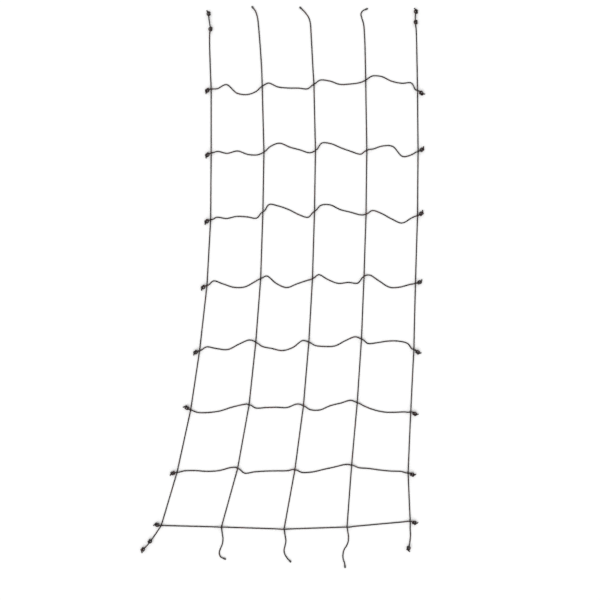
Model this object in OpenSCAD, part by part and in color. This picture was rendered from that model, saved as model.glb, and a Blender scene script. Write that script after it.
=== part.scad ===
// Cargo climbing net laid flat: five upright ropes, eight rungs tucked through them, knotted and loose ends.
// Millimetres, +Z up, the net's top end towards +Y. The origin is the middle of the net's outline, on the floor.

/* [Rope] */
// Diameter of the three-strand rope
rope_d = 5; // [4:0.5:7]
// Clearance of a rung inside the opened lay of an upright
tuck_gap = 0.15; // [0.1:0.05:0.3]
// Length of each hard sealed tip
tip_len = 7; // [5:1:14]

/* [Net] */
// Distance between neighbouring uprights at the top
cell_w = 196; // [160:1:240]
// Distance between neighbouring rungs
cell_h = 242; // [200:1:280]
// How much the rungs sway between uprights, as a share of the drawn sway
sway_share = 1; // [0:0.1:1.3]
// How far the lower rows spread sideways, as a share of the drawn spread
spread_share = 1; // [0:0.1:1.2]

/* [Ends] */
// Length of the loose top ends, as a share of the drawn length
top_tail_share = 1; // [0.8:0.05:1.2]
// Distance from an end crossing to the bend where its loose end starts
tail_start = 24; // [22:1:40]
// Length of the short end past a stopper knot
knot_end = 10; // [6:1:16]

/* [Hidden] */
$fn = 48;
SIDES = 8;
COLS = 5;
ROWS = 8;
LAST = ROWS - 1;
rope_r = rope_d / 2;
tip_r = rope_r + 1;
size_k = rope_d / 6;
bore_r = rope_r + tuck_gap;
bulge_r = rope_d + 0.3 * size_k;
cross_z = bulge_r;
bulge_half = 13 * size_k;
tuck_half = 10 * size_k;
tuck_steepest = 34;
tuck_outer = 7.6 * size_k;
side_steepest = 18;
knot_z = 8.6 * size_k;
knot_reach = 12 * size_k;
knot_leave = 7 * size_k;
knot_off = bulge_r + knot_reach + 0.3;
lift_half = 40;
fold_gap = 0.3;
chamfer_start = 1.17 * rope_r + fold_gap;
chamfer_end = 1.6 * rope_r + fold_gap;
top_y = 770;
tip_lap = 4;

// Sideways lean of each row's left and right end crossing, and the bow of the crossings between them.
lean_left = [0, 0, -2, -16, -44, -78, -130, -190];
lean_right = [2, 4, 2, -6, -12, -24, -34, -26];
bow = [-2, 4, 2, 6, 10, 13, 11, -8];
bow_share = [0, 1, 0.8, 0.45, 0];

// How far each crossing sits above or below its even row line.
droop = [
    [-16, -6, 2, 18, -22],
    [-18, -14, -8, -8, -12],
    [-30, 0, 2, -8, -14],
    [-38, -12, -12, -4, -30],
    [-44, -12, -12, 0, -40],
    [-28, -8, -12, 0, -36],
    [-24, -8, -14, 4, -26],
    [16, 10, 2, 10, 32]
];

// Sway of each rung between two uprights, at these shares of the span.
sway_at = [0.12, 0.3, 0.5, 0.7, 0.88];
sway = [
    [[0, 14, -20, -28, -18], [12, -4, -10, -12, -16], [14, 8, -8, -10, -8], [20, 26, 16, 16, 24]],
    [[6, -2, 6, -8, -10], [20, 32, 16, 4, -8], [28, 26, 10, -4, -14], [6, 18, 18, -20, -12]],
    [[6, -4, -2, -10, -20], [28, 22, 8, -12, -22], [24, 28, 12, 4, -4], [14, 4, -16, -30, -10]],
    [[14, -2, -20, -24, -10], [10, -18, -34, -20, -8], [14, -6, -22, -20, -24], [8, -10, -28, -22, -8]],
    [[10, -2, -12, 2, 12], [-16, -24, -32, -20, 6], [-14, -20, -20, -2, 10], [-12, -2, 12, 20, 18]],
    [[-12, -16, -14, -4, 2], [-12, -10, -8, -8, 6], [-16, -20, -6, 2, 10], [-8, -16, -18, -12, -4]],
    [[4, 2, -4, -4, 4], [-18, -12, -8, -6, -4], [-12, -14, -8, -2, 4], [-6, -4, -4, -2, 2]],
    [[0, 0, 0, 0, 0], [0, 0, 0, 0, 0], [0, 0, 0, 0, 0], [0, 0, 0, 0, 0]]
];

// How far each rung's left and right knots point up from level, in degrees.
rung_knot_lift = [
    [-40, -40], [-40, 35], [-35, 40], [-35, 20],
    [-30, -40], [35, -35], [-15, -25], [15, -25]
];

// Loose ends, as steps right and up from their crossing. A side end's knots sit on its listed knot points.
top_tail = [
    [[-4, 100], [-6, 200]],
    [[-2, 62], [-8, 155], [-14, 228], [-18, 262], [-26, 287], [-36, 300]],
    [[-4, 66], [-10, 176], [-14, 234], [-20, 254], [-34, 274], [-50, 290]],
    [[-2, 104], [-4, 160], [-8, 213], [-15, 237], [-18, 252], [-11, 264], [2, 270]],
    [[-2, 110], [-5, 230]]
];
top_knots = [[[-3, 228], [-10, 286]], [], [], [], [[-8, 260], [-7, 300]]];
bottom_tail = [
    [[-20, -30]],
    [[4, -30], [6, -44], [3, -66], [-6, -88], [-8, -101], [-2, -114], [11, -120]],
    [[5, -30], [7, -46], [3, -66], [0, -81], [2, -93], [11, -109], [22, -121]],
    [[5, -30], [5, -52], [0, -68], [-11, -86], [-15, -101], [-15, -120], [-10, -136], [-8, -149]],
    [[0, -30], [1, -56]]
];
bottom_knots = [[[-42, -60], [-69, -91]], [], [], [], [[-6, -102]]];

// Half of an overhand stopper knot, from its middle to where the rope leaves, for a rope 6 thick.
knot_half = [
    [0, 0, 6], [-5.5, 4.5, 5], [-8.5, 5.5, 1.5], [-9, 5, -2], [-8, 2.5, -5.5],
    [-5, -0.5, -7.5], [-1.5, -3.5, -6.5], [1.5, -3.5, -3], [3.5, -1, -0.5], [7, 1.5, 0.5]
];

function flip(list) = [for (i = [len(list) - 1 : -1 : 0]) list[i]];
function rest_of(list) = [for (i = [1 : 1 : len(list) - 1]) list[i]];
function total(list, i = 0) = i < len(list) ? list[i] + total(list, i + 1) : 0;
function unit(v) = v / norm(v);

// Crossing of row r and upright c.
function lean(r, c) = spread_share * (lean_left[r] * (COLS - 1 - c) + lean_right[r] * c) / (COLS - 1);
function cross_x(r, c) = (c - 2) * cell_w + lean(r, c) + bow[r] * bow_share[c];
function cross_y(r, c) = top_y - r * cell_h + droop[r][c];
function cross_at(r, c) = [cross_x(r, c), cross_y(r, c)];

// The straight line across the net on which rows r and r + 1 fold.
function fold_y(r) = total([for (c = [0 : COLS - 1]) cross_y(r, c) + cross_y(r + 1, c)]) / (2 * COLS);
function fold_at(r, c) =
    let (a = cross_at(r, c), b = cross_at(r + 1, c))
    a + (b - a) * (a[1] - fold_y(r)) / (a[1] - b[1]);

// Direction of a rung where it passes through an upright, from the sway on each side.
function rise_after(r, c) = c < COLS - 1 ? sway[r][c][0] : -0.5 * sway[r][c - 1][4];
function rise_before(r, c) = c > 0 ? sway[r][c - 1][4] : -0.5 * sway[r][c][0];
function tuck_slope(r, c) = atan((rise_after(r, c) - rise_before(r, c)) / (2 * sway_at[0] * cell_w));
function steepest(c) = c == 0 || c == COLS - 1 ? side_steepest : tuck_steepest;
function tuck_angle(r, c) = sway_share * max(-steepest(c), min(steepest(c), tuck_slope(r, c)));

// Smooth curve through points, with n steps between neighbours.
function blend4(a, b, c, d, t) =
    0.5 * (2 * b + (c - a) * t + (2 * a - 5 * b + 4 * c - d) * t * t + (3 * b - a - 3 * c + d) * t * t * t);
function smooth(p, n) = [
    for (i = [0 : len(p) - 2], k = [0 : n - 1])
        blend4(p[max(i - 1, 0)], p[i], p[i + 1], p[min(i + 2, len(p) - 1)], k / n),
    p[len(p) - 1]
];

// One knot on a rope: its points in order, turned to the rope's heading in plan.
function knot_turn(p, at, heading) =
    let (x = p[0], y = p[2], z = p[1])
    [
        at[0] + size_k * (x * cos(heading) - y * sin(heading)),
        at[1] + size_k * (x * sin(heading) + y * cos(heading)),
        knot_z + size_k * z
    ];
function knot_mirror(p) = [-p[0], -p[1], p[2]];
function knot_points(at, heading) = concat(
    [for (p = flip(rest_of(knot_half))) knot_turn(knot_mirror(p), at, heading)],
    [for (p = knot_half) knot_turn(p, at, heading)]
);

// Route of rung r, from its left short end to its right short end.
function span_points(r, c) = [
    for (i = [0 : len(sway_at) - 1])
        let (a = cross_at(r, c), b = cross_at(r, c + 1), p = a + (b - a) * sway_at[i])
        [p[0], p[1] + sway_share * sway[r][c][i], rope_r + (i == 0 || i == 4 ? 0.5 : 0)]
];
function tuck_point(r, c, s) =
    let (a = cross_at(r, c), h = tuck_angle(r, c))
    [a[0] + s * cos(h), a[1] + s * sin(h), cross_z];
function knot_lift(r, side) = rung_knot_lift[r][side > 0 ? 1 : 0];
function knot_heading(r, side) = side > 0 ? knot_lift(r, side) : 180 - knot_lift(r, side);
function knot_apart(r, side) = (knot_off - tuck_outer) * (1 + 0.0056 * max(0, -side * knot_lift(r, side)));
function rung_knot_at(r, side) =
    let (a = tuck_point(r, side > 0 ? COLS - 1 : 0, side * tuck_outer), h = knot_heading(r, side))
    [a[0], a[1]] + knot_apart(r, side) * [cos(h), sin(h)];
function past_knot(at, heading) =
    let (w = [cos(heading), sin(heading)], n = [-sin(heading), cos(heading)])
    let (a = [at[0], at[1]] + (knot_leave + 3.5 * size_k) * w + size_k * n, b = a + 0.35 * knot_end * w + 0.5 * knot_end * n)
    [[a[0], a[1], 9 * size_k], [b[0], b[1], 9 * size_k - 0.25 * knot_end]];
function span_route(r, c) = smooth(concat(
    [tuck_point(r, c, tuck_half)],
    span_points(r, c),
    [tuck_point(r, c + 1, -tuck_half)]
), 2);
function rung_route(r) = concat(
    flip(past_knot(rung_knot_at(r, -1), knot_heading(r, -1))),
    flip(knot_points(rung_knot_at(r, -1), knot_heading(r, -1))),
    [tuck_point(r, 0, -tuck_outer)],
    [for (c = [0 : COLS - 2], p = span_route(r, c)) p],
    [tuck_point(r, COLS - 1, tuck_outer)],
    knot_points(rung_knot_at(r, 1), knot_heading(r, 1)),
    past_knot(rung_knot_at(r, 1), knot_heading(r, 1))
);

// Loose ends. end is 0 at the top and 1 at the bottom.
// Their tables are laid out with the hinge at laid_start, and move out with it as one.
laid_start = 24;
function tail_table(end, c) = end == 0 ? [for (p = top_tail[c]) p * top_tail_share] : bottom_tail[c];
function knot_table(end, c) = end == 0 ? [for (p = top_knots[c]) p * top_tail_share] : bottom_knots[c];
function tail_shift(end, c) = (tail_start - laid_start) * tail_way(end, c);
function tail_steps(end, c) = [for (p = tail_table(end, c)) p + tail_shift(end, c)];
function tail_knots(end, c) = [for (p = knot_table(end, c)) p + tail_shift(end, c)];
function tail_cross(end, c) = cross_at(end == 0 ? 0 : LAST, c);
function tail_way(end, c) = unit(tail_table(end, c)[0]);
function tail_hinge(end, c) = tail_cross(end, c) + tail_start * tail_way(end, c);
function lie(p) = [p[0], p[1], rope_r];
function flat(p) = [p[0], p[1], 0];
function tail_open(end, c) = concat(
    [lie(tail_hinge(end, c) + chamfer_end * tail_way(end, c))],
    [for (i = [0 : 1 : len(tail_steps(end, c)) - 1])
        lie(tail_cross(end, c) + tail_steps(end, c)[i]) + [0, 0, tip_rise(end, c, i)]]
);
function tip_rise(end, c, i) = has_knots(c) || i < len(tail_steps(end, c)) - 2 ? 0 : tip_r - rope_r;
function tail_heading(end, c, i) =
    let (k = tail_knots(end, c), s = tail_steps(end, c), a = i == 0 ? s[len(s) - 1] : k[i - 1], d = k[i] - a)
    atan2(d[1], d[0]);
function knotted_part(end, c) = [
    for (i = [0 : 1 : len(tail_knots(end, c)) - 1], p = knot_points(
        tail_cross(end, c) + tail_knots(end, c)[i], tail_heading(end, c, i)
    )) p
];
function knotted_tip(end, c) =
    let (n = len(tail_knots(end, c)))
    past_knot(tail_cross(end, c) + tail_knots(end, c)[n - 1], tail_heading(end, c, n - 1));
function has_knots(c) = c == 0 || c == COLS - 1;
function tail_route(end, c) = has_knots(c)
    ? concat(smooth(tail_open(end, c), 2), knotted_part(end, c), knotted_tip(end, c))
    : smooth(tail_open(end, c), 2);
function tip_way(end, c) = let (p = tail_steps(end, c), n = len(p)) unit(p[n - 1] - p[n - 2]);
function tip_at(end, c) = let (p = tail_steps(end, c)) lie(tail_cross(end, c) + p[len(p) - 1]);

// The outline's middle.
ALL_POINTS = concat(
    [for (r = [0 : ROWS - 1], p = rung_route(r)) p],
    [for (end = [0, 1], c = [0 : COLS - 1], p = tail_route(end, c)) p],
    [for (end = [0, 1], c = [1 : COLS - 2]) tip_at(end, c) + tip_len * flat(tip_way(end, c))]
);
mid_x = (min([for (p = ALL_POINTS) p[0]]) + max([for (p = ALL_POINTS) p[0]])) / 2;
mid_y = (min([for (p = ALL_POINTS) p[1]]) + max([for (p = ALL_POINTS) p[1]])) / 2;

// A round rope along points, with its own radius at each point.
function way(p, i) = unit(p[min(i + 1, len(p) - 1)] - p[max(i - 1, 0)]);
function side_of(n, t) = unit(n - (n * t) * t);
function sides_along(p, i, n) =
    let (s = side_of(n, way(p, i)))
    i == len(p) - 1 ? [s] : concat([s], sides_along(p, i + 1, s));
function ring(c, n, t, r) =
    let (b = cross(t, n))
    [for (k = [0 : SIDES - 1]) c + r * (cos(360 * k / SIDES) * n + sin(360 * k / SIDES) * b)];
module tube(p, radii) {
    sides = sides_along(p, 0, [0, 0, 1]);
    points = [for (i = [0 : len(p) - 1], q = ring(p[i], sides[i], way(p, i), radii[i])) q];
    top = (len(p) - 1) * SIDES;
    faces = concat(
        [[for (k = [0 : SIDES - 1]) k]],
        [[for (k = [SIDES - 1 : -1 : 0]) top + k]],
        [
            for (i = [0 : len(p) - 2], k = [0 : SIDES - 1])
                let (a = i * SIDES + k, b = i * SIDES + (k + 1) % SIDES)
                [a, a + SIDES, b]
        ],
        [
            for (i = [0 : len(p) - 2], k = [0 : SIDES - 1])
                let (a = i * SIDES + k, b = i * SIDES + (k + 1) % SIDES)
                [b, a + SIDES, b + SIDES]
        ]
    );
    polyhedron(points = points, faces = faces, convexity = 10);
}
module rope(p) {
    tube(p, [for (q = p) rope_r]);
}
module placed() {
    translate([-mid_x, -mid_y, 0]) children();
}

// One row's length of one upright: a pointed start, the opened lay around the rung, a ball at the far hinge.
function upper_end(r, c) = r == 0 ? tail_hinge(0, c) : fold_at(r - 1, c);
function lower_end(r, c) = r == LAST ? tail_hinge(1, c) : fold_at(r, c);
function from_cross(r, c, toward, s, z) =
    let (a = cross_at(r, c), w = unit(toward - a), q = a + s * w)
    [q[0], q[1], z];
function ball_end(at, w) = [
    lie(at),
    lie(at + 0.7 * rope_r * w),
    lie(at + 0.98 * rope_r * w)
];
BALL_RADII = [rope_r, 0.7 * rope_r, 0.15 * rope_r];
function point_end(at, w) = [
    lie(at - chamfer_start * w),
    lie(at - chamfer_end * w)
];
POINT_RADII = [0.12 * rope_r, rope_r];
function part_z(reach) = rope_r + (cross_z - rope_r) * (reach < lift_half ? 0.3 : 0.55);
LAY_STEPS = [bulge_half, 0.62 * bulge_half, 0.27 * bulge_half];
LAY_RADII = [rope_r, 0.72 * bulge_r, bulge_r];
module upright_piece(r, c) {
    a = upper_end(r, c);
    b = lower_end(r, c);
    mid = cross_at(r, c);
    up = unit(a - mid);
    down = unit(b - mid);
    reach_up = min(lift_half, norm(a - mid) - 6);
    reach_down = min(lift_half, norm(b - mid) - 6);
    start = r == 0 ? flip(ball_end(a, up)) : point_end(a, up);
    start_radii = r == 0 ? flip(BALL_RADII) : POINT_RADII;
    z_up = part_z(reach_up);
    z_down = part_z(reach_down);
    points = concat(
        start,
        [from_cross(r, c, a, reach_up, rope_r)],
        [for (i = [0 : 2]) from_cross(r, c, a, LAY_STEPS[i], i == 0 ? z_up : cross_z)],
        [for (i = [2, 1, 0]) from_cross(r, c, b, LAY_STEPS[i], i == 0 ? z_down : cross_z)],
        [from_cross(r, c, b, reach_down, rope_r)],
        ball_end(b, down)
    );
    radii = concat(start_radii, [rope_r], LAY_RADII, flip(LAY_RADII), [rope_r], BALL_RADII);
    placed() difference() {
        tube(points, radii);
        translate([mid[0], mid[1], cross_z])
            rotate([0, 90, tuck_angle(r, c)])
                cylinder(h = 4 * bulge_r, r = bore_r, center = true);
    }
}
module rung(r) {
    placed() rope(rung_route(r));
}
module tail(end, c) {
    start = tail_hinge(end, c);
    route = tail_route(end, c);
    first = lie(start + chamfer_start * tail_way(end, c));
    placed() {
        tube(concat([first], route), concat([0.12 * rope_r], [for (q = route) rope_r]));
        if (!has_knots(c)) {
            at = tip_at(end, c);
            w = tip_way(end, c);
            translate(flat(at - tip_lap * w) + [0, 0, tip_r])
                rotate([0, 90, atan2(w[1], w[0])])
                    cylinder(h = tip_lap + tip_len, r = tip_r);
        }
    }
}

UPRIGHT_COLOUR = [0.30, 0.26, 0.24];
RUNG_COLOUR = [0.36, 0.29, 0.26];
module rung_1() color(RUNG_COLOUR) rung(0);
module rung_2() color(RUNG_COLOUR) rung(1);
module rung_3() color(RUNG_COLOUR) rung(2);
module rung_4() color(RUNG_COLOUR) rung(3);
module rung_5() color(RUNG_COLOUR) rung(4);
module rung_6() color(RUNG_COLOUR) rung(5);
module rung_7() color(RUNG_COLOUR) rung(6);
module rung_8() color(RUNG_COLOUR) rung(7);
module left_side_rope_1() color(UPRIGHT_COLOUR) upright_piece(0, 0);
module left_side_rope_2() color(UPRIGHT_COLOUR) upright_piece(1, 0);
module left_side_rope_3() color(UPRIGHT_COLOUR) upright_piece(2, 0);
module left_side_rope_4() color(UPRIGHT_COLOUR) upright_piece(3, 0);
module left_side_rope_5() color(UPRIGHT_COLOUR) upright_piece(4, 0);
module left_side_rope_6() color(UPRIGHT_COLOUR) upright_piece(5, 0);
module left_side_rope_7() color(UPRIGHT_COLOUR) upright_piece(6, 0);
module left_side_rope_8() color(UPRIGHT_COLOUR) upright_piece(7, 0);
module left_inner_rope_1() color(UPRIGHT_COLOUR) upright_piece(0, 1);
module left_inner_rope_2() color(UPRIGHT_COLOUR) upright_piece(1, 1);
module left_inner_rope_3() color(UPRIGHT_COLOUR) upright_piece(2, 1);
module left_inner_rope_4() color(UPRIGHT_COLOUR) upright_piece(3, 1);
module left_inner_rope_5() color(UPRIGHT_COLOUR) upright_piece(4, 1);
module left_inner_rope_6() color(UPRIGHT_COLOUR) upright_piece(5, 1);
module left_inner_rope_7() color(UPRIGHT_COLOUR) upright_piece(6, 1);
module left_inner_rope_8() color(UPRIGHT_COLOUR) upright_piece(7, 1);
module middle_rope_1() color(UPRIGHT_COLOUR) upright_piece(0, 2);
module middle_rope_2() color(UPRIGHT_COLOUR) upright_piece(1, 2);
module middle_rope_3() color(UPRIGHT_COLOUR) upright_piece(2, 2);
module middle_rope_4() color(UPRIGHT_COLOUR) upright_piece(3, 2);
module middle_rope_5() color(UPRIGHT_COLOUR) upright_piece(4, 2);
module middle_rope_6() color(UPRIGHT_COLOUR) upright_piece(5, 2);
module middle_rope_7() color(UPRIGHT_COLOUR) upright_piece(6, 2);
module middle_rope_8() color(UPRIGHT_COLOUR) upright_piece(7, 2);
module right_inner_rope_1() color(UPRIGHT_COLOUR) upright_piece(0, 3);
module right_inner_rope_2() color(UPRIGHT_COLOUR) upright_piece(1, 3);
module right_inner_rope_3() color(UPRIGHT_COLOUR) upright_piece(2, 3);
module right_inner_rope_4() color(UPRIGHT_COLOUR) upright_piece(3, 3);
module right_inner_rope_5() color(UPRIGHT_COLOUR) upright_piece(4, 3);
module right_inner_rope_6() color(UPRIGHT_COLOUR) upright_piece(5, 3);
module right_inner_rope_7() color(UPRIGHT_COLOUR) upright_piece(6, 3);
module right_inner_rope_8() color(UPRIGHT_COLOUR) upright_piece(7, 3);
module right_side_rope_1() color(UPRIGHT_COLOUR) upright_piece(0, 4);
module right_side_rope_2() color(UPRIGHT_COLOUR) upright_piece(1, 4);
module right_side_rope_3() color(UPRIGHT_COLOUR) upright_piece(2, 4);
module right_side_rope_4() color(UPRIGHT_COLOUR) upright_piece(3, 4);
module right_side_rope_5() color(UPRIGHT_COLOUR) upright_piece(4, 4);
module right_side_rope_6() color(UPRIGHT_COLOUR) upright_piece(5, 4);
module right_side_rope_7() color(UPRIGHT_COLOUR) upright_piece(6, 4);
module right_side_rope_8() color(UPRIGHT_COLOUR) upright_piece(7, 4);
module left_side_top_end() color(UPRIGHT_COLOUR) tail(0, 0);
module left_inner_top_end() color(UPRIGHT_COLOUR) tail(0, 1);
module middle_top_end() color(UPRIGHT_COLOUR) tail(0, 2);
module right_inner_top_end() color(UPRIGHT_COLOUR) tail(0, 3);
module right_side_top_end() color(UPRIGHT_COLOUR) tail(0, 4);
module left_side_bottom_end() color(UPRIGHT_COLOUR) tail(1, 0);
module left_inner_bottom_end() color(UPRIGHT_COLOUR) tail(1, 1);
module middle_bottom_end() color(UPRIGHT_COLOUR) tail(1, 2);
module right_inner_bottom_end() color(UPRIGHT_COLOUR) tail(1, 3);
module right_side_bottom_end() color(UPRIGHT_COLOUR) tail(1, 4);

rung_1();
rung_2();
rung_3();
rung_4();
rung_5();
rung_6();
rung_7();
rung_8();
left_side_rope_1();
left_side_rope_2();
left_side_rope_3();
left_side_rope_4();
left_side_rope_5();
left_side_rope_6();
left_side_rope_7();
left_side_rope_8();
left_inner_rope_1();
left_inner_rope_2();
left_inner_rope_3();
left_inner_rope_4();
left_inner_rope_5();
left_inner_rope_6();
left_inner_rope_7();
left_inner_rope_8();
middle_rope_1();
middle_rope_2();
middle_rope_3();
middle_rope_4();
middle_rope_5();
middle_rope_6();
middle_rope_7();
middle_rope_8();
right_inner_rope_1();
right_inner_rope_2();
right_inner_rope_3();
right_inner_rope_4();
right_inner_rope_5();
right_inner_rope_6();
right_inner_rope_7();
right_inner_rope_8();
right_side_rope_1();
right_side_rope_2();
right_side_rope_3();
right_side_rope_4();
right_side_rope_5();
right_side_rope_6();
right_side_rope_7();
right_side_rope_8();
left_side_top_end();
left_inner_top_end();
middle_top_end();
right_inner_top_end();
right_side_top_end();
left_side_bottom_end();
left_inner_bottom_end();
middle_bottom_end();
right_inner_bottom_end();
right_side_bottom_end();
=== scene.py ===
"""Rope climbing net, laid flat: five laid uprights, eight tucked rungs, knotted and sealed loose ends."""

import math

import bpy
import numpy as np
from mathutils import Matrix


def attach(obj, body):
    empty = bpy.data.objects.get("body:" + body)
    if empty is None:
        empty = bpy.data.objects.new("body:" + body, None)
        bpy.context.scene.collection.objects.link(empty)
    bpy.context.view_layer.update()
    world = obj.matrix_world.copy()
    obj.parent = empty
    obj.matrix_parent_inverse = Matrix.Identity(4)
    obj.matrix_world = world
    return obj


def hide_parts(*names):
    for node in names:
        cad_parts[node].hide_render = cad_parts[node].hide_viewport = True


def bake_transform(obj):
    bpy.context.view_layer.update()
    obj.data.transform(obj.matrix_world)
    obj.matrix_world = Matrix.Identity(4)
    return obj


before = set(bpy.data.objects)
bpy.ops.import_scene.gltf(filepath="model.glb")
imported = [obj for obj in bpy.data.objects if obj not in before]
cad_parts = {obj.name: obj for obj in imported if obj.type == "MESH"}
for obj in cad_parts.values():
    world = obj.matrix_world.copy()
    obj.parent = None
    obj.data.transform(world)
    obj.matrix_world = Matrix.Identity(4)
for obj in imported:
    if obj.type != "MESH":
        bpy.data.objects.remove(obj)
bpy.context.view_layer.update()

# ---------------------------------------------------------------- sizes, in metres
MM = 0.001
ROPE_R = 2.5 * MM
STRANDS = 3
STRAND_R = 1.18 * MM
STRAND_OFF = 1.29 * MM
LAY = 22 * MM
STRAND_SIDES = 8
RING_STEP = 2.2 * MM
LINE_STEP = 0.8 * MM
PATH_STEP = 1.2 * MM
CELL_W = 196 * MM
CELL_H = 242 * MM
TOP_Y = 770 * MM
SIZE = 5 / 6
CROSS_Z = 6.3 * SIZE * MM
OPEN_HALF = 10.5 * MM
OPEN_CENTRE = 3.54 * MM
OPEN_SIDE = 1.18 * MM
OPEN_FULL = 3 * MM
LAY_HELD = 0.85
PRESSED = 0.15
PRESSED_WIDE = 0.6 * PRESSED
UNEVEN = 0.03
KNOT_Z = 8.6 * SIZE * MM
KNOT_LEAVE = 7 * SIZE * MM
KNOT_END = 10 * MM
TUCK_HALF = 10 * SIZE * MM
TUCK_OUTER = 7.6 * SIZE * MM
KNOT_CLEAR = 0.3 * MM
KNOT_APART = CROSS_Z + 12 * SIZE * MM + KNOT_CLEAR - TUCK_OUTER
KNOT_OUT_PER_DEGREE = 0.0056
TUCK_STEEPEST = 34
SIDE_STEEPEST = 18
PASS_HALF = 3.5 * MM
SPAN_RISE = 0.5 * MM
TAIL_START = 24 * MM
FOLD_BEND = 20 * MM
TIP_LEN = 7 * MM
TIP_R = 3.5 * MM
ROWS = 8
COLUMNS = ["left_side", "left_inner", "middle", "right_inner", "right_side"]
LAST = ROWS - 1
KNOTTED = (0, 4)
SEALED = (1, 2, 3)
# Distance from a rung, in millimetres, and how far the upright has risen there to its crossing.
RISE = ((40, 0), (11, 0.55), (6.7, 1), (3, 1))
RISE_BY_HINGE = ((22, 0.1), *RISE[1:])

# ---------------------------------------------------------------- layout, as in the solid model
LEAN_LEFT = [0, 0, -2, -16, -44, -78, -130, -190]
LEAN_RIGHT = [2, 4, 2, -6, -12, -24, -34, -26]
BOW = [-2, 4, 2, 6, 10, 13, 11, -8]
BOW_SHARE = [0, 1, 0.8, 0.45, 0]
DROOP = [
    [-16, -6, 2, 18, -22],
    [-18, -14, -8, -8, -12],
    [-30, 0, 2, -8, -14],
    [-38, -12, -12, -4, -30],
    [-44, -12, -12, 0, -40],
    [-28, -8, -12, 0, -36],
    [-24, -8, -14, 4, -26],
    [16, 10, 2, 10, 32],
]
SWAY_AT = [0.12, 0.3, 0.5, 0.7, 0.88]
SWAY = [
    [[0, 14, -20, -28, -18], [12, -4, -10, -12, -16], [14, 8, -8, -10, -8], [20, 26, 16, 16, 24]],
    [[6, -2, 6, -8, -10], [20, 32, 16, 4, -8], [28, 26, 10, -4, -14], [6, 18, 18, -20, -12]],
    [[6, -4, -2, -10, -20], [28, 22, 8, -12, -22], [24, 28, 12, 4, -4], [14, 4, -16, -30, -10]],
    [[14, -2, -20, -24, -10], [10, -18, -34, -20, -8], [14, -6, -22, -20, -24], [8, -10, -28, -22, -8]],
    [[10, -2, -12, 2, 12], [-16, -24, -32, -20, 6], [-14, -20, -20, -2, 10], [-12, -2, 12, 20, 18]],
    [[-12, -16, -14, -4, 2], [-12, -10, -8, -8, 6], [-16, -20, -6, 2, 10], [-8, -16, -18, -12, -4]],
    [[4, 2, -4, -4, 4], [-18, -12, -8, -6, -4], [-12, -14, -8, -2, 4], [-6, -4, -4, -2, 2]],
    [[0, 0, 0, 0, 0], [0, 0, 0, 0, 0], [0, 0, 0, 0, 0], [0, 0, 0, 0, 0]],
]
TOP_TAIL = [
    [[-4, 100], [-6, 200]],
    [[-2, 62], [-8, 155], [-14, 228], [-18, 262], [-26, 287], [-36, 300]],
    [[-4, 66], [-10, 176], [-14, 234], [-20, 254], [-34, 274], [-50, 290]],
    [[-2, 104], [-4, 160], [-8, 213], [-15, 237], [-18, 252], [-11, 264], [2, 270]],
    [[-2, 110], [-5, 230]],
]
TOP_KNOTS = [[[-3, 228], [-10, 286]], [], [], [], [[-8, 260], [-7, 300]]]
BOTTOM_TAIL = [
    [[-20, -30]],
    [[4, -30], [6, -44], [3, -66], [-6, -88], [-8, -101], [-2, -114], [11, -120]],
    [[5, -30], [7, -46], [3, -66], [0, -81], [2, -93], [11, -109], [22, -121]],
    [[5, -30], [5, -52], [0, -68], [-11, -86], [-15, -101], [-15, -120], [-10, -136], [-8, -149]],
    [[0, -30], [1, -56]],
]
BOTTOM_KNOTS = [[[-42, -60], [-69, -91]], [], [], [], [[-6, -102]]]
RUNG_KNOT_LIFT = [[-40, -40], [-40, 35], [-35, 40], [-35, 20], [-30, -40], [35, -35], [-15, -25], [15, -25]]
KNOT_HALF = [
    [0, 0, 6], [-5.5, 4.5, 5], [-8.5, 5.5, 1.5], [-9, 5, -2], [-8, 2.5, -5.5],
    [-5, -0.5, -7.5], [-1.5, -3.5, -6.5], [1.5, -3.5, -3], [3.5, -1, -0.5], [7, 1.5, 0.5],
]


def reach(row, column):
    """How far a crossing leans sideways."""
    return (LEAN_LEFT[row] * (4 - column) + LEAN_RIGHT[row] * column) / 4


def crossing(row, column):
    """A crossing before the whole net is shifted to its middle."""
    x = (column - 2) * CELL_W + (reach(row, column) + BOW[row] * BOW_SHARE[column]) * MM
    return np.array([x, TOP_Y - row * CELL_H + DROOP[row][column] * MM])


def lying(at, z=ROPE_R):
    return np.array([at[0], at[1], z])


def heading(step):
    return step / np.linalg.norm(step)


# ---------------------------------------------------------------- routes
def tuck_angle(row, column):
    """The way a rung points where it is tucked through an upright."""
    sway = SWAY[row]
    after = sway[column][0] if column < 4 else -0.5 * sway[column - 1][4]
    before = sway[column - 1][4] if column > 0 else -0.5 * sway[column][0]
    slope = math.degrees(math.atan((after - before) * MM / (2 * SWAY_AT[0] * CELL_W)))
    steepest = SIDE_STEEPEST if column in KNOTTED else TUCK_STEEPEST
    return math.radians(max(-steepest, min(steepest, slope)))


def tucked(row, column, along):
    at, turn = crossing(row, column), tuck_angle(row, column)
    return np.array([at[0] + along * math.cos(turn), at[1] + along * math.sin(turn), CROSS_Z])


def overhand_knot(at, turn):
    """Points of a stopper knot in order, turned to the rope's heading."""
    half = np.array(KNOT_HALF, float)
    whole = np.vstack([half[:0:-1] * [-1, -1, 1], half]) * MM
    x, z, y = SIZE * whole.T
    return np.stack([
        at[0] + x * math.cos(turn) - y * math.sin(turn),
        at[1] + x * math.sin(turn) + y * math.cos(turn),
        KNOT_Z + z,
    ], axis=1)


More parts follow.
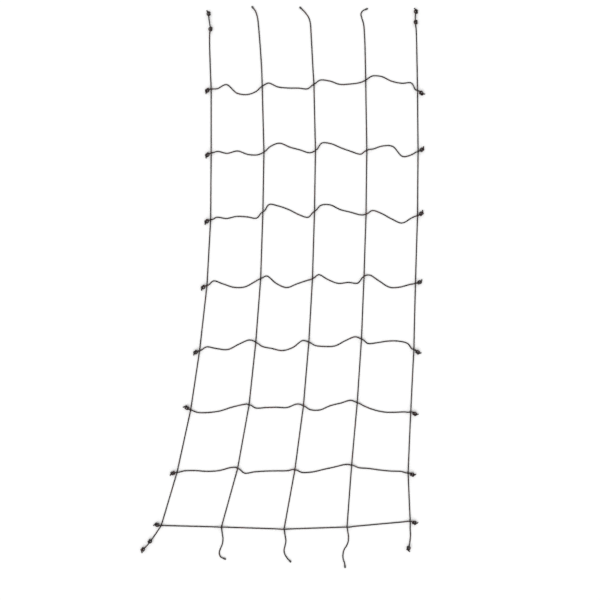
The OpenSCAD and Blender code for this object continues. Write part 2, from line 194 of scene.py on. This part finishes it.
def past_knot(at, turn):
    """The short end past a stopper knot."""
    way = np.array([math.cos(turn), math.sin(turn)])
    across = np.array([-math.sin(turn), math.cos(turn)])
    high = 9 * SIZE * MM
    start = np.array(at)[:2] + (KNOT_LEAVE + 3.5 * SIZE * MM) * way + SIZE * MM * across
    end = start + KNOT_END * (0.35 * way + 0.5 * across)
    return np.array([lying(start, high), lying(end, high - 0.25 * KNOT_END)])


def rung_stub(row, side):
    """A rung's knot and the short end past it, on its left (-1) or right (1)."""
    lift = RUNG_KNOT_LIFT[row][1 if side > 0 else 0]
    turn = math.radians(lift if side > 0 else 180 - lift)
    apart = KNOT_APART * (1 + KNOT_OUT_PER_DEGREE * max(0, -side * lift))
    start = tucked(row, 4 if side > 0 else 0, side * TUCK_OUTER)
    middle = start[:2] + apart * np.array([math.cos(turn), math.sin(turn)])
    return np.vstack([overhand_knot(middle, turn), past_knot(middle, turn)])


def rung_points(row):
    line = [rung_stub(row, -1)[::-1], [tucked(row, 0, -TUCK_OUTER)]]
    for column in range(5):
        line.append([tucked(row, column, along) for along in (-PASS_HALF, 0, PASS_HALF)])
        if column == 4:
            break
        line.append([tucked(row, column, TUCK_HALF)])
        a, b = crossing(row, column), crossing(row, column + 1)
        for share, sway in zip(SWAY_AT, SWAY[row][column]):
            x, y = a + (b - a) * share
            rise = SPAN_RISE if share in (SWAY_AT[0], SWAY_AT[-1]) else 0
            line.append([(x, y + sway * MM, ROPE_R + rise)])
        line.append([tucked(row, column + 1, -TUCK_HALF)])
    line += [[tucked(row, 4, TUCK_OUTER)], rung_stub(row, 1)]
    return np.vstack(line)


def loose_end_steps(top, column):
    return np.array((TOP_TAIL if top else BOTTOM_TAIL)[column], float) * MM


def loose_end_points(top, column):
    """A loose end's points from just past its hinge to its tip."""
    at = crossing(0 if top else LAST, column)
    steps = loose_end_steps(top, column)
    if column in SEALED:
        line = [lying(at + step) for step in steps]
        for p in line[-2:]:
            p[2] = TIP_R
        return np.array(line)
    line = [[lying(at + step)] for step in steps]
    last = steps[-1]
    for knot in np.array((TOP_KNOTS if top else BOTTOM_KNOTS)[column], float) * MM:
        way = heading(knot - last)
        line.append(overhand_knot(at + knot, math.atan2(way[1], way[0])))
        last = knot
    line.append(past_knot(at + last, math.atan2(way[1], way[0])))
    return np.vstack(line)


def risen(at, way, steps):
    """Points of an upright on one side of a crossing."""
    return [lying(at + away * MM * way, ROPE_R + share * (CROSS_Z - ROPE_R)) for away, share in steps]


def upright_points(column):
    """An upright's points from its top tip to its bottom tip, and which of them are its crossings."""
    line, crossings = list(loose_end_points(True, column)[::-1]), []
    for row in range(ROWS):
        at = crossing(row, column)
        up = loose_end_steps(True, column)[0] if row == 0 else crossing(row - 1, column) - at
        down = loose_end_steps(False, column)[0] if row == LAST else crossing(row + 1, column) - at
        line += risen(at, heading(up), RISE_BY_HINGE if row == 0 else RISE)
        crossings.append(len(line))
        line.append(lying(at, CROSS_Z))
        line += risen(at, heading(down), (RISE_BY_HINGE if row == LAST else RISE)[::-1])
    return np.vstack([line, loose_end_points(False, column)]), crossings


def tip_heading(top, column):
    steps = loose_end_steps(top, column)
    return heading(steps[-1] - steps[-2])


def outline_points():
    for row in range(ROWS):
        yield rung_points(row)[:, :2]
    for column in range(5):
        for top in (True, False):
            points = loose_end_points(top, column)[:, :2]
            yield points
            if column in SEALED:
                yield [points[-1] + TIP_LEN * tip_heading(top, column)]


outline = np.vstack(list(outline_points()))
MIDDLE = np.append((outline.min(0) + outline.max(0)) / 2, 0)


def smooth_line(points):
    """A smooth curve through points.

    Gives its own close points, how far along each is, and how far along each given point is.
    """
    p = np.asarray(points, float)
    p = np.vstack([2 * p[0] - p[1], p, 2 * p[-1] - p[-2]])
    knots = np.concatenate([[0], np.cumsum(np.sqrt(np.linalg.norm(np.diff(p, axis=0), axis=1)))])
    made, marks = [], []
    for i in range(1, len(p) - 2):
        a, b, c, d = p[i - 1:i + 3]
        ta, tb, tc, td = knots[i - 1:i + 3]
        count = max(4, math.ceil(np.linalg.norm(c - b) / LINE_STEP))
        t = np.linspace(tb, tc, count, endpoint=False)[:, None]
        ab = ((tb - t) * a + (t - ta) * b) / (tb - ta)
        bc = ((tc - t) * b + (t - tb) * c) / (tc - tb)
        cd = ((td - t) * c + (t - tc) * d) / (td - tc)
        abc = ((tc - t) * ab + (t - ta) * bc) / (tc - ta)
        bcd = ((td - t) * bc + (t - tb) * cd) / (td - tb)
        marks.append(sum(len(m) for m in made))
        made.append(((tc - t) * abc + (t - tb) * bcd) / (tc - tb))
    marks.append(sum(len(m) for m in made))
    line = np.vstack(made + [[p[-2]]])
    along = np.concatenate([[0], np.cumsum(np.linalg.norm(np.diff(line, axis=0), axis=1))])
    return line, along, along[marks]


def gently(t):
    t = np.clip(t, 0, 1)
    return t * t * (3 - 2 * t)


def opening(along, crossings):
    """How far the lay is opened at each place: 1 around a rung, 0 away from it."""
    if not len(crossings):
        return np.zeros_like(along)
    away = np.abs(along[:, None] - np.asarray(crossings)[None, :]).min(1)
    return gently((OPEN_HALF - away) / (OPEN_HALF - OPEN_FULL))


def lay_turn(along, crossings, first):
    """The lay's angle along a rope. An upright comes to each rung with one strand straight above it."""
    third = LAY / STRANDS
    steps = np.concatenate([[0], np.diff(along)])
    turned = np.cumsum(steps * (1 - LAY_HELD * opening(along, crossings))) / third
    if not len(crossings):
        return first + 2 * math.pi / STRANDS * turned
    at = np.interp(crossings, along, turned)
    whole = np.round(at - at[0])
    fitted = np.interp(turned, at, whole)
    fitted = np.where(turned < at[0], turned - at[0], fitted)
    fitted = np.where(turned > at[-1], whole[-1] + turned - at[-1], fitted)
    return math.pi / 2 + 2 * math.pi / STRANDS * fitted


class LaidRope:
    """A three-strand rope along a route. Lengths of it are cut out as closed strands."""

    def __init__(self, points, crossing_points=(), first=0.0, number=0):
        self.line, self.along, marks = smooth_line(points)
        self.line = self.line - MIDDLE
        self.crossings = marks[list(crossing_points)] if len(crossing_points) else np.zeros(0)
        self.turn = lay_turn(self.along, self.crossings, first)
        self.number = number
        self.length = self.along[-1]

    def at(self, along):
        return np.stack([np.interp(along, self.along, self.line[:, i]) for i in range(3)], axis=1)

    def strand(self, which, along):
        """One strand's middle line and the way out from the rope's own middle."""
        line = self.at(along)
        tangent = np.gradient(self.at_extended(along), axis=0)[1:-1]
        tangent /= np.linalg.norm(tangent, axis=1)[:, None]
        up = np.array([0, 0, 1]) - tangent * tangent[:, 2:3]
        up /= np.linalg.norm(up, axis=1)[:, None]
        side = np.cross(up, tangent)
        angle = np.interp(along, self.along, self.turn) + 2 * math.pi * which / STRANDS
        x, y = STRAND_OFF * np.cos(angle), STRAND_OFF * np.sin(angle)
        share = opening(along, self.crossings)
        if len(self.crossings):
            near = self.crossings[np.abs(along[:, None] - self.crossings[None, :]).argmin(1)]
            there = np.interp(near, self.along, self.turn) + 2 * math.pi * which / STRANDS
            over = np.sin(there) > 0.5
            x = x * (1 - share) + np.where(over, 0, np.sign(np.cos(there)) * OPEN_SIDE) * share
            y = y * (1 - share) + np.where(over, OPEN_CENTRE, -OPEN_CENTRE) * share
        out = x[:, None] * side + y[:, None] * up
        return line + out, out, share

    def at_extended(self, along):
        step = along[1] - along[0]
        wide = np.concatenate([[along[0] - step], along, [along[-1] + step]])
        line = self.at(wide)
        line[0] = 2 * line[1] - line[2] if wide[0] < 0 else line[0]
        line[-1] = 2 * line[-2] - line[-3] if wide[-1] > self.length else line[-1]
        return line

    def cut(self, name, start, end, round_start=False, round_end=False):
        """The rope between two places along it, as one object of three closed strands."""
        count = max(4, round((end - start) / RING_STEP)) + 1
        along = np.linspace(start, end, count)
        points, faces, maps, flat = [], [], [], []
        for which in range(STRANDS):
            rings = strand_rings(*self.strand(which, along), round_start, round_end)
            number = which + STRANDS * self.number
            add_tube(rings, along, round_start, round_end, number, points, faces, maps, flat)
        return new_piece(name, points, faces, maps, flat)


def strand_rings(line, out, pressed, round_start, round_end):
    """Rings round one strand. It is pressed flatter where it passes a rung."""
    way = np.gradient(line, axis=0)
    way /= np.linalg.norm(way, axis=1)[:, None]
    out = out - way * np.sum(out * way, axis=1)[:, None]
    out /= np.linalg.norm(out, axis=1)[:, None]
    radius = np.full(len(line), STRAND_R)
    for rounded, end, sign in ((round_start, 0, -1), (round_end, -1, 1)):
        if rounded:
            shift, shrink = np.array([[0.4, 0.93], [0.8, 0.72], [1.0, 0.4]]).T
            extra = line[end] + sign * shift[:, None] * MM * way[end]
            sizes = STRAND_R * shrink
            if end == 0:
                extra, sizes = extra[::-1], sizes[::-1]
            order = 1 if end == 0 else -1
            line = np.vstack([extra, line][::order])
            way = np.vstack([np.tile(way[end], (3, 1)), way][::order])
            out = np.vstack([np.tile(out[end], (3, 1)), out][::order])
            radius = np.concatenate([sizes, radius][::order])
            pressed = np.concatenate([[0] * 3, pressed][::order])
    side = np.cross(way, out)
    angle = np.linspace(-math.pi, math.pi, STRAND_SIDES, endpoint=False)
    short_wave = np.sin(310 * line[:, 1] + 190 * line[:, 0])
    long_wave = np.sin(97 * line[:, 0] - 61 * line[:, 1])
    radius = radius * (1 + UNEVEN * short_wave + UNEVEN * long_wave)
    deep = (radius * (1 - PRESSED * pressed))[:, None, None]
    wide = (radius * (1 + PRESSED_WIDE * pressed))[:, None, None]
    outward = np.cos(angle)[None, :, None] * out[:, None]
    across = np.sin(angle)[None, :, None] * side[:, None]
    return line[:, None] + deep * outward + wide * across


def add_tube(rings, along, round_start, round_end, number, points, faces, maps, flat):
    """Adds one closed tube. Its map runs round the strand across and along the rope upwards."""
    count, sides = rings.shape[:2]
    base = sum(len(p) for p in points)
    up = np.concatenate([
        along[0] - np.array([1.0, 0.8, 0.4]) * MM if round_start else [],
        along,
        along[-1] + np.array([0.4, 0.8, 1.0]) * MM if round_end else [],
    ]) + 10 * number
    i, k = np.meshgrid(np.arange(count - 1), np.arange(sides), indexing="ij")
    i, k = i.ravel(), k.ravel()
    after = (k + 1) % sides
    here, there = i * sides + base, (i + 1) * sides + base
    quads = np.stack([here + k, here + after, there + after, there + k], axis=1)
    across = np.stack([k, k + 1, k + 1, k], axis=1) / sides
    upward = np.stack([up[i], up[i], up[i + 1], up[i + 1]], axis=1)
    points.append(rings.reshape(-1, 3))
    faces.extend(quads.tolist())
    maps.append(np.stack([across, upward], axis=2).reshape(-1, 2))
    flat.extend([False] * len(quads))
    for ring, order, level in ((0, -1, up[0]), (count - 1, 1, up[-1])):
        faces.append([base + ring * sides + j for j in range(sides)][::order])
        maps.append(np.stack([np.arange(sides)[::order] / sides, np.full(sides, level)], axis=1))
        flat.append(not (round_start if ring == 0 else round_end))


def new_piece(name, points, faces, maps, flat):
    mesh = bpy.data.meshes.new(name)
    mesh.from_pydata(np.vstack(points).tolist(), [], faces)
    layer = mesh.uv_layers.new(name="Lay")
    layer.data.foreach_set("uv", np.vstack(maps).astype(np.float32).ravel())
    mesh.polygons.foreach_set("use_smooth", ~np.array(flat))
    mesh.update()
    piece = bpy.data.objects.new(name, mesh)
    bpy.context.collection.objects.link(piece)
    return piece


# ---------------------------------------------------------------- camera
eye = bpy.data.cameras.new("camera")
eye.lens, eye.sensor_width = 85, 36
view_width = 2.286
camera = bpy.data.objects.new("camera", eye)
camera.location = (0.065, -0.049, view_width * 85 / 36)
bpy.context.collection.objects.link(camera)
bpy.context.scene.camera = camera

# ---------------------------------------------------------------- ropes
uprights = []
for column in range(5):
    points, crossings = upright_points(column)
    uprights.append(LaidRope(points, crossings, number=column))
rungs = [LaidRope(rung_points(row), first=0.9 * row, number=5 + row) for row in range(ROWS)]


def declare_rope(rope, start, end, exit):
    """Works out points along a rope from one place to another; nothing is kept."""
    along = np.linspace(start, end, max(8, round(abs(end - start) / PATH_STEP)))
    rope.at(along)
    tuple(exit)


rung_pieces, upright_pieces, tips = [], [], []
for row, rope in enumerate(rungs):
    piece = rope.cut(f"rung_{row + 1}_rope", 0, rope.length, round_start=True, round_end=True)
    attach(piece, f"row_{row + 1}")
    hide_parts(f"rung_{row + 1}")
    declare_rope(rope, 0, rope.length, rope.line[0])
    rung_pieces.append(piece)

for column, (name, rope) in enumerate(zip(COLUMNS, uprights)):
    knotted = column in KNOTTED
    at = rope.crossings
    top = rope.cut(f"{name}_top_loose_rope", 0, at[0], round_start=knotted)
    declare_rope(rope, at[0], 0, rope.at(at[:1])[0])
    bottom = rope.cut(f"{name}_bottom_loose_rope", at[-1], rope.length, round_end=knotted)
    declare_rope(rope, at[-1], rope.length, rope.at(at[-1:])[0])
    for piece, end, row, from_end, nodes in (
        (top, "top", 0, True, [f"{name}_top_end"]),
        (bottom, "bottom", LAST, False, [f"{name}_rope_{ROWS}", f"{name}_bottom_end"]),
    ):
        way = lying(heading(loose_end_steps(from_end, column)[0]), 0)
        hinge = lying(crossing(row, column)) - MIDDLE + TAIL_START * way
        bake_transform(piece)
        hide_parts(*nodes)
        upright_pieces.append(piece)
    for row in range(LAST):
        piece = rope.cut(f"{name}_length_{row + 1}", at[row], at[row + 1])
        fold = sum(crossing(row, c)[1] + crossing(row + 1, c)[1] for c in range(5)) / 10 - MIDDLE[1]
        before, after = (0, fold + FOLD_BEND, ROPE_R), (0, fold - FOLD_BEND, ROPE_R)
        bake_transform(piece)
        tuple(before)
        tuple(after)
        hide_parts(f"{name}_rope_{row + 1}")
        upright_pieces.append(piece)


TIP_LENGTHS = [-4, -3.8, -3.2, -2.4, -1.4, -0.4, 0.6, 1.6, 2.6, 3.6, 4.6, 5.4, 6.1, 6.6, 6.9, 7]
TIP_WIDTHS = [2.45, 2.8, 3.1, 3.3, 3.42, 3.48, 3.5, 3.5, 3.5, 3.47, 3.38, 3.2, 2.85, 2.3, 1.5, 0.6]
TIP_SIDES = 24


def sealed_tip(name, rope, at_top, way):
    """The hard, melted blob of a sealed end, fused over the last of its strands."""
    end = rope.line[0] if at_top else rope.line[-1]
    lengths, widths = np.array(TIP_LENGTHS) * MM, np.array(TIP_WIDTHS) * MM
    side, up = np.array([-way[1], way[0], 0]), np.array([0, 0, 1])
    way = np.array([way[0], way[1], 0])
    angle = np.linspace(0, 2 * math.pi, TIP_SIDES, endpoint=False)
    groove = 0.12 * MM * (1 + np.cos(STRANDS * (angle[None, :] - 2 * math.pi * lengths[:, None] / LAY)))
    groove = groove + 0.05 * MM * np.sin(5 * angle[None, :] + 900 * lengths[:, None])
    fade = np.clip((TIP_LEN - lengths) / (3 * MM), 0, 1)[:, None]
    radius = widths[:, None] - groove * fade
    rings = (end + lengths[:, None] * way)[:, None] + radius[:, :, None] * (
        np.cos(angle)[None, :, None] * side + np.sin(angle)[None, :, None] * up)
    points, faces, maps, flat = [], [], [], []
    add_tube(rings, lengths, False, False, 90, points, faces, maps, flat)
    return new_piece(name, points, faces, maps, flat)


for column in SEALED:
    for at_top in (True, False):
        end = "top" if at_top else "bottom"
        tip = sealed_tip(f"{COLUMNS[column]}_{end}_tip", uprights[column], at_top, tip_heading(at_top, column))
        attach(tip, f"{COLUMNS[column]}_{end}_loose_end")
        tips.append(tip)


# ---------------------------------------------------------------- effects that the finishes share
def effect(name, inputs, outputs):
    """An empty node group with named sockets."""
    group = bpy.data.node_groups.new(name, "ShaderNodeTree")
    for socket, kind, value in inputs:
        made = group.interface.new_socket(socket, in_out="INPUT", socket_type=kind)
        made.default_value = value
    for socket, kind in outputs:
        group.interface.new_socket(socket, in_out="OUTPUT", socket_type=kind)
    return group, group.nodes.new("NodeGroupInput"), group.nodes.new("NodeGroupOutput")


def sums(tree, how, *values):
    """A maths node fed with numbers or sockets."""
    node = tree.nodes.new("ShaderNodeMath")
    node.operation = how
    for place, value in enumerate(values):
        if isinstance(value, (int, float)):
            node.inputs[place].default_value = value
        else:
            tree.links.new(value, node.inputs[place])
    return node.outputs[0]


def times(tree, a, b):
    return sums(tree, "MULTIPLY", a, b)


def spread_between(tree, value, low, high, to_low=0.0, to_high=1.0):
    node = tree.nodes.new("ShaderNodeMapRange")
    for socket, number in (("From Min", low), ("From Max", high), ("To Min", to_low), ("To Max", to_high)):
        node.inputs[socket].default_value = number
    tree.links.new(value, node.inputs["Value"])
    return node.outputs[0]


def blended(tree, share, a, b, how="MIX"):
    """A colour mixed from two."""
    node = tree.nodes.new("ShaderNodeMix")
    node.data_type, node.blend_type = "RGBA", how
    for socket, value in ((0, share), (6, a), (7, b)):
        if isinstance(value, (int, float, tuple)):
            node.inputs[socket].default_value = value
        else:
            tree.links.new(value, node.inputs[socket])
    return node.outputs[2]


def speckle(tree, where, scale, detail=2.0, rough=0.5):
    node = tree.nodes.new("ShaderNodeTexNoise")
    node.inputs["Scale"].default_value = scale
    node.inputs["Detail"].default_value = detail
    node.inputs["Roughness"].default_value = rough
    tree.links.new(where, node.inputs["Vector"])
    return node.outputs["Fac"]


def around_strand(tree, stretch=1.0):
    """A seamless place on a strand, in millimetres: two numbers go round it and the third along it."""
    lay = tree.nodes.new("ShaderNodeUVMap")
    lay.uv_map = "Lay"
    apart = tree.nodes.new("ShaderNodeSeparateXYZ")
    tree.links.new(lay.outputs["UV"], apart.inputs[0])
    angle = times(tree, apart.outputs[0], 2 * math.pi)
    place = tree.nodes.new("ShaderNodeCombineXYZ")
    tree.links.new(times(tree, sums(tree, "COSINE", angle), 1.2), place.inputs[0])
    tree.links.new(times(tree, sums(tree, "SINE", angle), 1.2), place.inputs[1])
    tree.links.new(times(tree, apart.outputs[1], 1000 * stretch), place.inputs[2])
    return apart.outputs[0], apart.outputs[1], place.outputs[0]


def yarn_twist():
    """The yarns twisted up in each strand: their rounded height, a mask of the gaps between them for painted
    shade, and a random shade of each yarn.
    """
    group, given, out = effect(
        "yarn twist",
        [("Yarns around", "NodeSocketFloat", 7.0), ("Turns per metre", "NodeSocketFloat", 45.0)],
        [("Height", "NodeSocketFloat"), ("Gap shade", "NodeSocketFloat"), ("Shade", "NodeSocketFloat")],
    )
    across, along, _ = around_strand(group)
    turned = sums(group, "ADD", across, times(group, along, given.outputs["Turns per metre"]))
    phase = times(group, turned, given.outputs["Yarns around"])
    crown = sums(group, "ABSOLUTE", sums(group, "SINE", times(group, phase, math.pi)))
    height = sums(group, "POWER", crown, 0.6)
    gap_shade = spread_between(group, crown, 0.45, 0.0)
    number = sums(group, "MODULO", sums(group, "FLOOR", phase), given.outputs["Yarns around"])
    shade = group.nodes.new("ShaderNodeTexWhiteNoise")
    shade.noise_dimensions = "1D"
    group.links.new(number, shade.inputs["W"])
    for socket, value in (("Height", height), ("Gap shade", gap_shade), ("Shade", shade.outputs["Value"])):
        group.links.new(value, out.inputs[socket])
    return group


def fine_fibres():
    """Hair-thin fibres along the yarns, with a few loose ones standing up."""
    group, given, out = effect(
        "fine fibres",
        [("Fineness", "NodeSocketFloat", 5.0)],
        [("Height", "NodeSocketFloat"), ("Loose", "NodeSocketFloat")],
    )
    place = around_strand(group, stretch=0.18)[2]
    fibres = speckle(group, place, 1.0, detail=3.0, rough=0.65)
    group.links.new(given.outputs["Fineness"], fibres.node.inputs["Scale"])
    loose = spread_between(group, speckle(group, place, 9.0, detail=1.0), 0.66, 0.74)
    group.links.new(fibres, out.inputs["Height"])
    group.links.new(loose, out.inputs["Loose"])
    return group


def wear_and_groove_shade():
    """Outdoor use: crowns of the strands rubbed pale and patches of dust, with painted shade darkening the
    grooves between the strands.
    """
    group, given, out = effect(
        "wear and groove shade",
        [
            ("Color", "NodeSocketColor", (0.1, 0.09, 0.08, 1)),
            ("Rubbed colour", "NodeSocketColor", (0.28, 0.245, 0.24, 1)),
            ("Groove shade colour", "NodeSocketColor", (0.02, 0.018, 0.016, 1)),
            ("Dust colour", "NodeSocketColor", (0.36, 0.31, 0.30, 1)),
            ("Rubbing", "NodeSocketFloat", 0.35),
            ("Grooves", "NodeSocketFloat", 0.8),
            ("Dust", "NodeSocketFloat", 0.2),
            ("Roughness", "NodeSocketFloat", 0.75),
        ],
        [("Color", "NodeSocketColor"), ("Roughness", "NodeSocketFloat")],
    )
    across, _, place = around_strand(group)
    off_middle = sums(group, "ABSOLUTE", sums(group, "SUBTRACT", across, 0.5))
    outward = sums(group, "SUBTRACT", 1.0, times(group, off_middle, 2.0))
    groove = spread_between(group, outward, 0.74, 0.48)
    crown = spread_between(group, outward, 0.72, 0.98)
    patches = spread_between(group, speckle(group, place, 0.05, detail=3.0), 0.38, 0.66)
    rubbed = times(group, times(group, crown, patches), given.outputs["Rubbing"])
    grains = spread_between(group, speckle(group, place, 0.8, detail=4.0, rough=0.7), 0.52, 0.7)
    dusty = times(group, times(group, grains, patches), given.outputs["Dust"])
    # painted shade: the sides of each strand that face the other strands are darkened towards a near-black
    # colour
    groove_shade_share = times(group, groove, given.outputs["Grooves"])
    colour = blended(group, groove_shade_share, given.outputs["Color"], given.outputs["Groove shade colour"])
    colour = blended(group, rubbed, colour, given.outputs["Rubbed colour"])
    colour = blended(group, dusty, colour, given.outputs["Dust colour"])
    rougher = times(group, sums(group, "SUBTRACT", grains, crown), 0.12)
    rough = sums(group, "ADD", given.outputs["Roughness"], rougher)
    group.links.new(colour, out.inputs["Color"])
    group.links.new(rough, out.inputs["Roughness"])
    return group


def placed(tree, group, **values):
    node = tree.nodes.new("ShaderNodeGroup")
    node.node_tree = group
    for socket, value in values.items():
        node.inputs[socket.replace("_", " ")].default_value = value
    return node


YARNS, FIBRES, WEAR_AND_SHADE = yarn_twist(), fine_fibres(), wear_and_groove_shade()
LOOSE_FIBRE = (0.38, 0.33, 0.32, 1)


def laid_rope(name, dark, mid, warm, yarns, rubbing, dust, roughness):
    """Dark fibre rope: yarns of different shades, fine fibres, painted shade in the grooves between strands
    and the gaps between yarns, and rubbed crowns.
    """
    material = bpy.data.materials.new(name)
    material.use_nodes = True
    tree = material.node_tree
    shader = tree.nodes["Principled BSDF"]
    lay = placed(tree, YARNS, Yarns_around=yarns, Turns_per_metre=45.0)
    fibres = placed(tree, FIBRES, Fineness=5.0)
    place = around_strand(tree)[2]
    shades = blended(tree, lay.outputs["Shade"], dark, mid)
    tints = spread_between(tree, speckle(tree, place, 0.016, detail=3.0), 0.5, 0.6)
    shades = blended(tree, times(tree, tints, 0.75), shades, warm)
    faded = spread_between(tree, speckle(tree, place, 0.035, detail=4.0), 0.35, 0.68, 0.35, 1.9)
    shades = blended(tree, 1.0, shades, joined(tree, faded), "MULTIPLY")
    # painted shade: the gaps between the yarns are darkened towards the dark colour
    shades = blended(tree, times(tree, lay.outputs["Gap shade"], 0.6), shades, dark)
    flecks = spread_between(tree, fibres.outputs["Height"], 0.35, 0.75, 0.55, 1.3)
    shades = blended(tree, 1.0, shades, joined(tree, flecks), "MULTIPLY")
    shades = blended(tree, times(tree, fibres.outputs["Loose"], 0.35), shades, LOOSE_FIBRE)
    # rubbed crowns, dust, and painted shade in the grooves between the strands
    wear_and_shade = placed(tree, WEAR_AND_SHADE, Rubbing=rubbing, Dust=dust, Roughness=roughness)
    tree.links.new(shades, wear_and_shade.inputs["Color"])
    tree.links.new(wear_and_shade.outputs["Color"], shader.inputs["Base Color"])
    tree.links.new(wear_and_shade.outputs["Roughness"], shader.inputs["Roughness"])
    shader.inputs["Specular IOR Level"].default_value = 0.2
    shader.inputs["Sheen Weight"].default_value = 0.04
    shader.inputs["Sheen Roughness"].default_value = 0.45
    high = sums(tree, "ADD", lay.outputs["Height"], times(tree, fibres.outputs["Height"], 0.5))
    bump = tree.nodes.new("ShaderNodeBump")
    bump.inputs["Strength"].default_value = 0.7
    bump.inputs["Distance"].default_value = 0.22 * MM
    tree.links.new(high, bump.inputs["Height"])
    tree.links.new(bump.outputs["Normal"], shader.inputs["Normal"])
    return material


def joined(tree, value):
    node = tree.nodes.new("ShaderNodeCombineColor")
    for socket in node.inputs:
        tree.links.new(value, socket)
    return node.outputs[0]


def fused_end():
    """The grey, slightly glossy skin of a sealed rope end, scuffed and dusty."""
    material = bpy.data.materials.new("sealed rope end")
    material.use_nodes = True
    tree = material.node_tree
    shader = tree.nodes["Principled BSDF"]
    fibres = placed(tree, FIBRES, Fineness=1.6)
    place = around_strand(tree)[2]
    cloudy = spread_between(tree, speckle(tree, place, 0.35, detail=3.0), 0.35, 0.7)
    colour = blended(tree, cloudy, (0.020, 0.018, 0.018, 1), (0.050, 0.046, 0.046, 1))
    colour = blended(tree, times(tree, fibres.outputs["Loose"], 0.5), colour, (0.14, 0.13, 0.12, 1))
    wear_and_shade = placed(tree, WEAR_AND_SHADE, Rubbing=0.15, Dust=0.3, Grooves=0.0, Roughness=0.5)
    tree.links.new(colour, wear_and_shade.inputs["Color"])
    tree.links.new(wear_and_shade.outputs["Color"], shader.inputs["Base Color"])
    tree.links.new(wear_and_shade.outputs["Roughness"], shader.inputs["Roughness"])
    bump = tree.nodes.new("ShaderNodeBump")
    bump.inputs["Strength"].default_value = 0.35
    bump.inputs["Distance"].default_value = 0.2 * MM
    tree.links.new(fibres.outputs["Height"], bump.inputs["Height"])
    tree.links.new(bump.outputs["Normal"], shader.inputs["Normal"])
    return material


UPRIGHT_ROPE = laid_rope(
    "upright rope",
    dark=(0.013, 0.010, 0.010, 1), mid=(0.050, 0.040, 0.039, 1), warm=(0.165, 0.062, 0.046, 1),
    yarns=7.0, rubbing=0.26, dust=0.14, roughness=0.84,
)
RUNG_ROPE = laid_rope(
    "rung rope",
    dark=(0.014, 0.010, 0.010, 1), mid=(0.054, 0.041, 0.041, 1), warm=(0.150, 0.048, 0.050, 1),
    yarns=7.0, rubbing=0.30, dust=0.17, roughness=0.86,
)
SEALED_END = fused_end()
for pieces, finish in ((upright_pieces, UPRIGHT_ROPE), (rung_pieces, RUNG_ROPE), (tips, SEALED_END)):
    for piece in pieces:
        piece.data.materials.append(finish)

# ---------------------------------------------------------------- floor and light
FLOOR = 6
floor_mesh = bpy.data.meshes.new("floor")
corners = [(-FLOOR, -FLOOR, 0), (FLOOR, -FLOOR, 0), (FLOOR, FLOOR, 0), (-FLOOR, FLOOR, 0)]
floor_mesh.from_pydata(corners, [], [(0, 1, 2, 3)])
floor = bpy.data.objects.new("floor", floor_mesh)
bpy.context.collection.objects.link(floor)
white = bpy.data.materials.new("white floor")
white.use_nodes = True
matt = white.node_tree.nodes["Principled BSDF"].inputs
matt["Base Color"].default_value = (0.9, 0.9, 0.9, 1)
matt["Roughness"].default_value = 0.9
matt["Specular IOR Level"].default_value = 0.1
floor_mesh.materials.append(white)

world = bpy.data.worlds.new("studio")
bpy.context.scene.world = world
world.use_nodes = True
world.node_tree.nodes["Background"].inputs["Color"].default_value = (1, 1, 1, 1)
world.node_tree.nodes["Background"].inputs["Strength"].default_value = 0.85
lamp = bpy.data.lights.new("soft lamp", "SUN")
lamp.energy, lamp.angle = 1.15, math.radians(50)
lamp_holder = bpy.data.objects.new("soft lamp", lamp)
lamp_holder.rotation_euler = (math.radians(25), math.radians(-20), 0)
bpy.context.collection.objects.link(lamp_holder)
bpy.context.scene.view_settings.view_transform = "Standard"
bpy.context.scene.view_settings.gamma = 0.9
